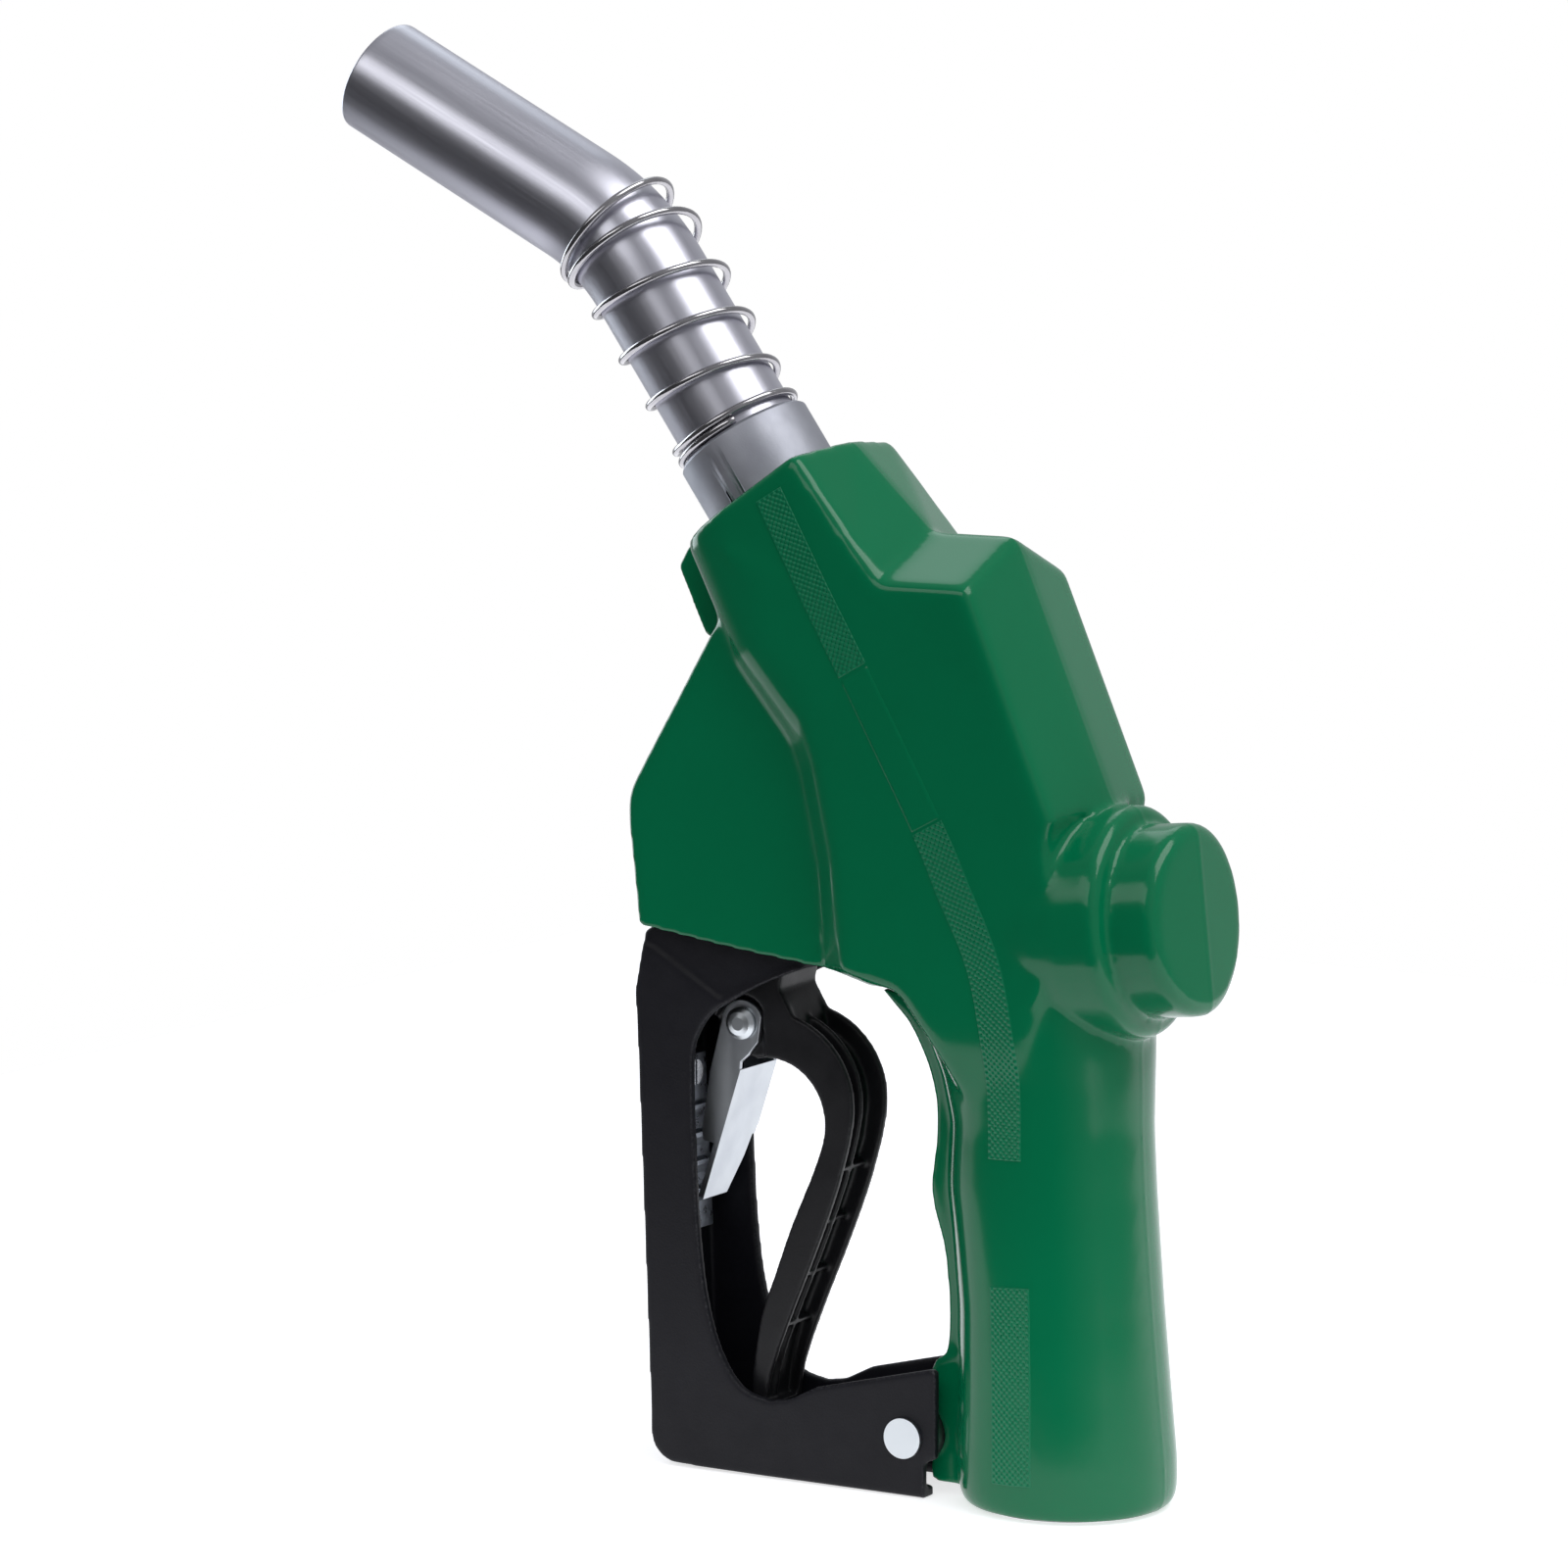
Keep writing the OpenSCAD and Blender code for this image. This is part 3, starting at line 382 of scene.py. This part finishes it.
# %% Rebuild an engineering part from even squares
def moulded(node, name, square, slot, body):
    """The squares' size is in metres."""
    draft = bpy.data.objects.new(name + "_draft", frame["nodes"][node].data.copy())
    scene.collection.objects.link(draft)
    rebuild = draft.modifiers.new("squares", "REMESH")
    rebuild.mode = "VOXEL"
    rebuild.voxel_size = square
    rebuild.use_smooth_shade = True
    mesh = bpy.data.meshes.new_from_object(draft.evaluated_get(bpy.context.evaluated_depsgraph_get()))
    bpy.data.objects.remove(draft)
    mesh.name = name
    piece = bpy.data.objects.new(name, mesh)
    scene.collection.objects.link(piece)
    mesh.materials.clear()
    mesh.materials.append(finishes[slot])
    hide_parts(node)
    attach(piece, body)
    print(name, "has", len(mesh.vertices), "points")
    return piece


# %% [markdown]
# ## The soft cover
# The real cover is moulded vinyl, stretched over the casting. Its broad faces are flat, its edges are
# rounded by a few millimetres, and a parting line runs round the middle. A bevel would round each edge by
# one width and fails where many edges meet. Relaxing treats every corner alike, so we use that.

# %% Cover: rebuild
cover_square = 0.75 * MM
cover = moulded("scuff_cover", "soft_cover", cover_square, "cover_green", "housing")
points, edges = read_points(cover.data)

# %% [markdown]
# The round boot over the valve leans a little. Distances along and off its middle line tell which points
# belong to it.

# %% Cover: distances from the valve's middle line
valve_tilt = math.radians(6)
valve_middle = np.array([0, 0, 146.3]) * MM
valve_line = np.array([math.cos(valve_tilt), 0, math.sin(valve_tilt)])


def valve_distances(points):
    from_valve = points - valve_middle
    along = from_valve @ valve_line
    return along, np.linalg.norm(from_valve - along[:, None] * valve_line, axis=1)


along_valve, off_valve = valve_distances(points)
print("the boot reaches", round(along_valve.max() / MM, 1), "mm along its line")

# %% [markdown]
# Small steps would vanish if they were relaxed as freely as the big edges. The boot, the foot of the grip,
# the lip over the guard and the rib under the spout are held back. The change from held to free is itself
# relaxed, so that it leaves no mark.

# %% Cover: relax, and hold back at the small steps
boot_start, boot_reach = -2 * MM, 31 * MM
foot_top, foot_front = 38 * MM, -24 * MM
lip_top, lip_front = 141 * MM, -44 * MM
rib_half, rib_front, rib_low = 3 * MM, -80 * MM, 205 * MM
held, free = 0.12, 0.5
cover_rounds, blend_rounds = 34, 12
across_y, height_z = points[:, 1], points[:, 2]
boot = (along_valve > boot_start) & (off_valve < boot_reach)
foot = (height_z < foot_top) & (points[:, 0] < foot_front)
lip = (height_z < lip_top) & (points[:, 0] < lip_front)
rib = (np.abs(across_y) < rib_half) & (points[:, 0] < rib_front) & (height_z > rib_low)
freedom = np.where(boot | foot | lip | rib, held, free)
freedom = relax(np.repeat(freedom[:, None], 3, 1), edges, blend_rounds, free)[:, 0]
points = relax(points, edges, cover_rounds, freedom)
print("points held back:", int((boot | foot | lip | rib).sum()))

# %% [markdown]
# The face of the valve's cap is not flat. It falls away to both sides of an upright ridge, like a low roof.

# %% Cover: the cap's roofed face
cap_face_start, cap_face_depth = 29 * MM, 6 * MM
roof_slope = 0.075
along_valve, off_valve = valve_distances(points)
cap_face = np.clip((along_valve - cap_face_start) / cap_face_depth, 0, 1)
points -= (cap_face * np.abs(points[:, 1]) * roof_slope)[:, None] * valve_line
write_points(cover.data, points)
print("the roof falls by", round((cap_face * np.abs(points[:, 1])).max() * roof_slope / MM, 1), "mm")

# %% [markdown]
# A mould has two halves, and the vinyl creeps into the gap between them. That leaves a fine raised line
# round the middle of the cover. It stands up only where the surface runs across the gap.

# %% Cover: the parting line
seam_half, seam_height = 0.8 * MM, 0.12 * MM
seam_side = 0.6


def near(value, middle, width):
    """1 at the middle, falling softly to 0 at this distance."""
    reach = np.clip(1 - np.abs(value - middle) / width, 0, 1)
    return reach * reach * (3 - 2 * reach)


outward = point_normals(cover.data)
seam = near(points[:, 1], 0, seam_half) * (np.abs(outward[:, 1]) < seam_side)
points += outward * (seam * seam_height)[:, None]
write_points(cover.data, points)
cover_skin = BVHTree.FromObject(cover, bpy.context.evaluated_depsgraph_get())
print("points in the parting line:", int((seam > 0).sum()))

# %% [markdown]
# ## The bands on the cover
# A band runs down each side, cross-hatched for grip in three stretches and smooth between two of them. A
# bump could fake the hatching from afar, but its outline would stay flat. Here it is real geometry: small
# pyramids about a millimetre apart, laid on the cover's own surface by casting rays at it.

# %% The band's middle line, as x and z, and its half width at the same places
band_middle = np.array([
    [-72.2, 251.6], [-47.2, 209.1], [-26.4, 171.9], [-19.0, 156.8], [-10.4, 138.2], [-6.8, 117.1],
    [-6.4, 89.7], [-5.4, 74.0], [-4.5, 58.6], [-2.3, 8.4]]) * MM
band_half = np.array([4.2, 4.5, 4.7, 4.9, 4.8, 4.8, 4.8, 5.2, 5.8, 5.8]) * MM
print("band widths from", 2 * band_half.min() / MM, "to", 2 * band_half.max() / MM, "mm")


# %% A smooth line through a few places
steps_between = 60


def smooth_line(knots, values, step):
    """Points a fixed step apart on a smooth curve through the knots, with the values blended, the number
    of the knot passed, and the distance run."""
    count = len(knots)
    fine, carried, mark = [], [], []
    for i in range(count - 1):
        p = [knots[max(i - 1, 0)], knots[i], knots[i + 1], knots[min(i + 2, count - 1)]]
        for t in np.linspace(0, 1, steps_between, endpoint=False):
            fine.append(0.5 * (2 * p[1] + (p[2] - p[0]) * t + (2 * p[0] - 5 * p[1] + 4 * p[2] - p[3]) * t * t
                               + (3 * p[1] - p[0] - 3 * p[2] + p[3]) * t ** 3))
            carried.append(values[i] * (1 - t) + values[i + 1] * t)
            mark.append(i + t)
    fine, carried, mark = np.array(fine), np.array(carried), np.array(mark)
    run = np.concatenate([[0], np.cumsum(np.linalg.norm(np.diff(fine, axis=0), axis=1))])
    even = np.arange(0, run[-1], step)
    pick = [np.interp(even, run, fine[:, 0]), np.interp(even, run, fine[:, 1])]
    return np.stack(pick, 1), np.interp(even, run, carried), np.interp(even, run, mark), even


# %% How high the band stands over the cover
hatch_pitch = 1.6129 * MM
rim_width = 0.45 * MM
edge_lift, rim_lift, peak_lift = -0.15 * MM, 0.2 * MM, 0.42 * MM
pyramid_slope, valley_ridge = 0.62 * MM, 0.7
outer_row = 0.4


def band_lift(run, t, edge, step, hatched):
    """The outermost row dips under the cover, a rim goes all round, and pyramids fill the middle."""
    if edge < outer_row * step:
        return edge_lift
    if edge < rim_width or not hatched:
        return rim_lift
    ridge = abs((run + t) / hatch_pitch % 1 - 0.5) + abs((run - t) / hatch_pitch % 1 - 0.5)
    return peak_lift - pyramid_slope * min(ridge, valley_ridge)


print("pyramids stand", round(pyramid_slope * valley_ridge / MM, 2), "mm high")

# %% Lay a stretch of band on one side
ray_start = 0.06


def band(name, first, last, hatched, side, step):
    line, half, mark, run = smooth_line(band_middle, band_half, step)
    keep = (mark >= first) & (mark <= last)
    line, half, run = line[keep], half[keep], run[keep]
    ahead = np.gradient(line, axis=0)
    ahead /= np.linalg.norm(ahead, axis=1)[:, None]
    across = np.stack([ahead[:, 1], -ahead[:, 0]], 1)
    width = int(round(2 * half.mean() / step))
    rows = len(line)
    points = []
    for i in range(rows):
        for k in range(width + 1):
            t = (2 * k / width - 1) * half[i]
            x, z = line[i] + across[i] * t
            hit, normal, _, _ = cover_skin.ray_cast(Vector((x, side * ray_start, z)), Vector((0, -side, 0)))
            edge = min(half[i] - abs(t), run[i] - run[0], run[-1] - run[i])
            points.append(hit + normal * band_lift(run[i], t, edge, step, hatched))
    faces = [(i * (width + 1) + k, i * (width + 1) + k + 1, (i + 1) * (width + 1) + k + 1,
              (i + 1) * (width + 1) + k) for i in range(rows - 1) for k in range(width)]
    if side > 0:
        faces = [f[::-1] for f in faces]
    return add_piece(name, points, faces, "cover_green", "housing",
                     look="hatched_green" if hatched else "cover_green")


# %% Bands on both sides
hatched_step, smooth_step = 0.24 * MM, 0.6 * MM
for side, word in ((-1, "near"), (1, "far")):
    band("band_top_" + word, 0, 1, True, side, hatched_step)
    band("band_plain_" + word, 1.004, 1.996, False, side, smooth_step)
    band("band_middle_" + word, 2, 6, True, side, hatched_step)
    band("band_foot_" + word, 8, 9, True, side, hatched_step)

# %% [markdown]
# ## The spout
# The spout is a drawn aluminium tube, bent once. A curve object with a round bevel could make it, but then
# we could not choose where its rings lie. Our own ring-by-ring mesh follows the same line as the
# engineering part. It carries a map that runs along and around it, so that the brushing follows the bend.

# %% Spout: the line it follows
spout_root = np.array([-72.4, 0, 231.6]) * MM
spout_lean = math.radians(35)
spout_bend = math.radians(27.4)
bend_radius = 60 * MM
lower_arm, upper_arm = 100 * MM, 68 * MM
bend_start = lower_arm - bend_radius * math.tan(spout_bend / 2)
bend_length = bend_radius * spout_bend
spout_length = bend_start + bend_length + upper_arm
depth_line = np.array([0, 1, 0])


def spout_line(run):
    """Place and direction of the spout's middle line at a distance up from its root."""
    turned = min(max(run - bend_start, 0), bend_length) / bend_radius
    beyond = max(run - bend_start - bend_length, 0)
    x = -bend_radius * (1 - math.cos(turned)) - beyond * math.sin(turned)
    z = min(run, bend_start) + bend_radius * math.sin(turned) + beyond * math.cos(turned)
    c, s = math.cos(spout_lean), math.sin(spout_lean)
    place = spout_root + np.array([x * c - z * s, 0, x * s + z * c])
    lean = spout_lean + turned
    return place, np.array([-math.sin(lean), 0, math.cos(lean)])


print("the spout is", round(spout_length / MM, 1), "mm long")

# %% [markdown]
# The tube's wall is drawn as one closed profile: up the outside, over a rounded rim, and down the bore.
# The bore is what makes a tube look like a tube at its open end.

# %% Spout: tube
tube_radius, tube_bore = 15.1 * MM, 13.5 * MM
tube_start, rim_round, rim_inside = 8 * MM, 0.8 * MM, 0.3 * MM
rim_angles = np.radians([20, 45, 70, 90])
bore_chamfer, bore_below_rim = 0.15 * MM, 1.2 * MM
outside_rings, bore_rings, tube_sides = 120, 90, 96
tube_around = 0.095
profile = [(run, tube_radius) for run in np.linspace(tube_start, spout_length - rim_round, outside_rings)]
profile += [(spout_length - rim_round * (1 - math.sin(a)), tube_radius - rim_round * (1 - math.cos(a)))
            for a in rim_angles]
profile += [(spout_length - rim_inside, tube_bore + bore_chamfer)]
profile += [(run, tube_bore) for run in np.linspace(spout_length - bore_below_rim, tube_start, bore_rings)]
points, uv = [], []
for run, radius in profile:
    place, ahead = spout_line(run)
    out = np.array([ahead[2], 0, -ahead[0]])
    for k in range(tube_sides):
        a = 2 * math.pi * k / tube_sides
        points.append(place + radius * (math.cos(a) * out + math.sin(a) * depth_line))
        uv.append((k / tube_sides * tube_around, run))
faces = [f[::-1] for f in ring_faces(len(profile), tube_sides, closed=True)]
spout = add_piece("spout", points, faces, "spout_alloy", "housing", ["spout_tube"], uv=uv)

# %% [markdown]
# ## The anchor spring
# A steel wire is wound round the lower spout. Its coils catch behind the lip of a tank's filler neck. The
# coils are nearly closed at both ends and open between them, so the rise per turn changes along the wire.

# %% Anchor spring: how it rises
wire = 1.0 * MM
collar_top, collar_gap = 38.4 * MM, 0.2 * MM
spring_low = collar_top + collar_gap + wire
spring_rise = 62.6 * MM
closed_turns, open_turns = 1.15, 4.2
close_pitch = 2.15 * wire
open_pitch = (spring_rise - 2 * closed_turns * close_pitch) / open_turns


def spring_height(turn):
    first = min(turn, closed_turns)
    middle = min(max(turn - closed_turns, 0), open_turns)
    end = max(turn - open_turns - closed_turns, 0)
    return spring_low + (first + end) * close_pitch + middle * open_pitch


print("the open coils rise", round(open_pitch / MM, 1), "mm a turn")

# %% [markdown]
# The wire hangs a little loose: higher up, its coils are wider and sit off the tube's middle. It is swept
# with 16 sides, which keeps its highlight unbroken, and two small rings round each cut end.

# %% Anchor spring: sweep the wire
coil_radius = 16.45 * MM
loose_from, loose_over, loosest = 8 * MM, 40 * MM, 0.9 * MM
first_angle = -60
turn_steps, wire_sides = 56, 16
end_push, end_sizes = 0.15 * MM, {1: 0.8, 2: 0.02}
points = []
turns = open_turns + 2 * closed_turns
steps = int(turns * turn_steps)
for i in range(-2, steps + 3):
    past_end = max(-i, i - steps, 0)
    turn = min(max(i, 0), steps) / turn_steps
    wide = wire * end_sizes.get(past_end, 1)
    height = spring_height(turn)
    place, ahead = spout_line(height)
    side = np.array([ahead[2], 0, -ahead[0]])
    lift = loosest * min(max((height - collar_top - loose_from) / loose_over, 0), 1)
    angle = math.radians(-360 * turn + first_angle)
    out = math.cos(angle) * side + math.sin(angle) * depth_line
    centre = place + out * (coil_radius + lift) + side * lift
    push = np.cross(out, ahead) * end_push * (-1 if i < 0 else 1 if i > steps else 0)
    for k in range(wire_sides):
        a = 2 * math.pi * k / wire_sides
        points.append(centre + push + wide * (math.cos(a) * out + math.sin(a) * ahead))
rings = steps + 5
faces = ring_faces(rings, wire_sides)
faces.append(tuple(range(wire_sides))[::-1])
faces.append(tuple((rings - 1) * wire_sides + k for k in range(wire_sides)))
add_piece("anchor_coil", points, faces, "spring_steel", "housing", ["anchor_spring"])

# %% [markdown]
# ## Guard and lever
# Both are moulded in black nylon. Their edges are only just broken, so smaller squares and a few rounds of
# relaxing are enough. The lever rides on its own body, because it swings.

# %% Guard and lever
for node, name, square, rounds, slot, body in (
        ("hand_guard", "guard", 0.55 * MM, 7, "guard_black", "housing"),
        ("lever", "squeeze_lever", 0.5 * MM, 6, "lever_black", "lever")):
    piece = moulded(node, name, square, slot, body)
    points, edges = read_points(piece.data)
    write_points(piece.data, relax(points, edges, rounds, free))

# %% [markdown]
# ## Small metal parts
# Pressed and turned steel parts keep their engineering shape. A narrow bevel on every sharp edge catches
# the light, as the rolled edge of a real part does. The meshes come with their faces apart, so a weld joins
# them first.

# %% Bevels
weld_reach = 0.002 * MM
sharp_from = math.radians(35)
bevel_widths = {"hold_open_latch": 0.35, "guard_pivot_pin": 0.3, "hold_open_rack": 0.25, "rack_screw": 0.15,
                "guard_screws": 0.25, "spout_collar": 0.3}
for node, width in bevel_widths.items():
    shape = frame["nodes"][node]
    weld = shape.modifiers.new("weld", "WELD")
    weld.merge_threshold = weld_reach
    bevel = shape.modifiers.new("edges", "BEVEL")
    bevel.width = width * MM
    bevel.segments = 3
    bevel.angle_limit = sharp_from
    bevel.harden_normals = False
    print(node, "has edges rounded by", width, "mm")

# %% [markdown]
# ## Studio
# A glossy black or dark green object shows its form only through what it reflects. Lights all round would
# wash it out. So the camera sees pure white all round, while the nozzle itself is lit and mirrored by a
# grey surround and a few large soft lights.

# %% [markdown]
# The floor is pale paint that glows a little, which brings it up to the white around it and leaves only a
# faint soft shadow under the grip.

# %% Floor
floor_left, floor_right, floor_front, floor_back = -0.6, 0.5, -0.22, 0.8
floor_drop = 0.2 * MM
floor_glow = 0.68
floor = bpy.data.objects.new("floor", bpy.data.meshes.new("floor"))
floor.data.from_pydata([(floor_left, floor_front, 0), (floor_right, floor_front, 0),
                        (floor_right, floor_back, 0), (floor_left, floor_back, 0)], [], [(0, 1, 2, 3)])
floor.location.z = -floor_drop
scene.collection.objects.link(floor)
floor_paint = finish("floor_paint", (0.62, 0.62, 0.66), (0.61, 0.61, 0.65), (0.6, 0.7), mottle=3, grain=0)
floor_shader = floor_paint.node_tree.nodes["Principled BSDF"]
floor_shader.inputs["Emission Color"].default_value = (1, 1, 1, 1)
floor_shader.inputs["Emission Strength"].default_value = floor_glow
floor.data.materials.append(floor_paint)
print("floor glows with a strength of", floor_glow)

# %% [markdown]
# Each light is a wide panel turned to face the nozzle. The big one at the front right is two panels in one
# place. One gives light but is not mirrored, the other does both. That sets how bright the cover is apart
# from how strong its highlights are.

# %% Lights
aim = Vector((-0.06, 0, 0.18))
neutral, cool = (1, 1, 1), (0.88, 0.96, 1.0)
front_right = (1.15, -1.25, 1.75)


def soft_light(name, place, width, height, power, colour=neutral, mirrored=True):
    data = bpy.data.lights.new(name, "AREA")
    data.shape = "RECTANGLE"
    data.size, data.size_y, data.energy, data.color = width, height, power, colour
    lamp = bpy.data.objects.new(name, data)
    lamp.location = place
    lamp.rotation_euler = (aim - Vector(place)).to_track_quat("-Z", "Y").to_euler()
    lamp.visible_glossy = mirrored
    scene.collection.objects.link(lamp)
    print(name, "gives", power, "W")


soft_light("tube_box", (-0.5, -1.45, 1.2), 1.3, 0.7, 5)
soft_light("fill_box", front_right, 2.8, 2.3, 27, mirrored=False)
soft_light("shine_box", front_right, 2.8, 2.3, 15)
soft_light("left_box", (-1.5, 0.3, 0.35), 0.7, 1.0, 7, cool)
soft_light("top_box", (0.7, 0.0, 1.55), 1.2, 1.0, 14)
soft_light("back_box", (-0.85, 1.1, 1.5), 0.9, 0.9, 2.6, cool)

# %% [markdown]
# A studio has a bright side and a dark side. Our surround does the same: it fades from grey to almost black
# towards one direction, and a soft bright patch stands at the far side, which draws a pale line along the
# spout and the edges of the cover.

# %% Surround: fade by direction
world = bpy.data.worlds.new("surround")
world.use_nodes = True
tree = world.node_tree
lit = tree.nodes["Background"]
lit.inputs["Color"].default_value = (0.95, 0.96, 1.0, 1)
dark_side, bright_patch = (-0.48, -0.84, -0.25), (-0.32, 0.94, 0.12)


def facing(direction, low, high, from_low, from_high):
    """Blends from low to high as the surround is seen nearer to this direction."""
    towards = tree.nodes.new("ShaderNodeVectorMath")
    towards.operation = "DOT_PRODUCT"
    tree.links.new(tree.nodes.new("ShaderNodeTexCoord").outputs["Generated"], towards.inputs[0])
    towards.inputs[1].default_value = direction
    return spread(tree, towards.outputs["Value"], low, high, from_low, from_high)


both = tree.nodes.new("ShaderNodeMath")
both.operation = "ADD"
tree.links.new(facing(dark_side, 0.34, 0.06, 0.1, 0.75), both.inputs[0])
tree.links.new(facing(bright_patch, 0.0, 0.22, 0.68, 0.97), both.inputs[1])
tree.links.new(both.outputs[0], lit.inputs["Strength"])
print("the surround is darkest towards", dark_side)

# %% [markdown]
# The Light Path node knows what kind of ray is asking. Rays from the camera see white, and all others see
# the grey surround.

# %% Surround: white for the camera
seen = tree.nodes.new("ShaderNodeBackground")
seen.inputs["Color"].default_value = (1, 1, 1, 1)
seen.inputs["Strength"].default_value = 1.0
choose = tree.nodes.new("ShaderNodeMixShader")
tree.links.new(tree.nodes.new("ShaderNodeLightPath").outputs["Is Camera Ray"], choose.inputs["Fac"])
tree.links.new(lit.outputs[0], choose.inputs[1])
tree.links.new(seen.outputs[0], choose.inputs[2])
tree.links.new(choose.outputs[0], tree.nodes["World Output"].inputs["Surface"])
scene.world = world
print("world:", scene.world.name)
